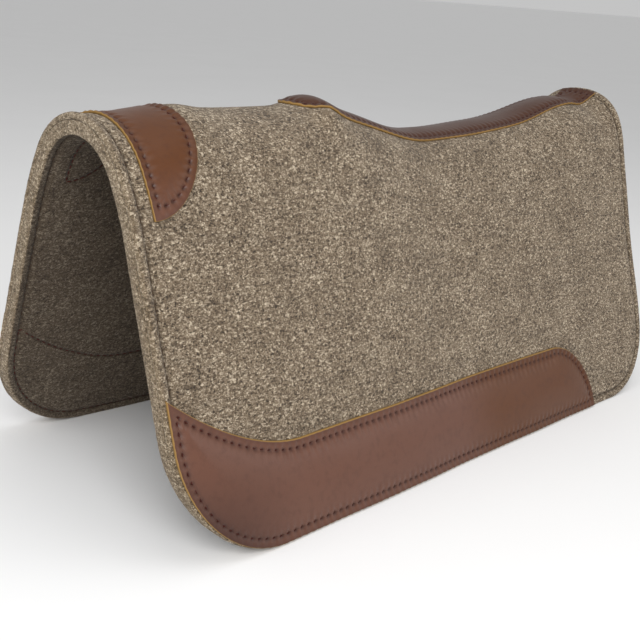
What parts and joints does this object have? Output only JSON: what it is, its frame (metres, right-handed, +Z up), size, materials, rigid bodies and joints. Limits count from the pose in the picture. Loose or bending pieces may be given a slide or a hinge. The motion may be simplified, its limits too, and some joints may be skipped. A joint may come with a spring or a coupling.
{
  "type": "contoured saddle pad",
  "caption": "Contoured wool felt saddle pad with an arched spine, leather wither patch, spine strip and wear patches sewn to both flaps.",
  "frame": {"origin": "middle of the outline on the plane that the two lower edges stand on", "axes": "+Z up, -Y towards the wither edge (the horse's head), +Y towards the loin edge, +X towards the horse's left side"},
  "size_m": [0.3628, 0.762, 0.3713],
  "materials": {
    "base_felt": "heathered grey-brown wool felt, darker lining side",
    "top_felt": "heathered grey-brown wool felt with pale and dark flecks",
    "patch_leather": "smooth brown leather, soft sheen, raw tan edge",
    "edge_thread": "dark brown waxed thread",
    "leather_thread": "dark maroon-brown waxed thread"
  },
  "bodies": {
    "root": {"base_felt": "base_felt", "top_felt": "top_felt", "wither_leather": "patch_leather", "spine_leather": "patch_leather", "left_wear_leather": "patch_leather", "right_wear_leather": "patch_leather", "edge_needle_thread": "edge_thread", "edge_bobbin_thread": "edge_thread", "wither_needle_thread": "leather_thread", "wither_bobbin_thread": "leather_thread", "spine_needle_thread": "leather_thread", "spine_bobbin_thread": "leather_thread", "left_wear_needle_thread": "leather_thread", "left_wear_bobbin_thread": "leather_thread", "right_wear_needle_thread": "leather_thread", "right_wear_bobbin_thread": "leather_thread", "dart_seam_thread": "leather_thread"}
  },
  "joints": []
}
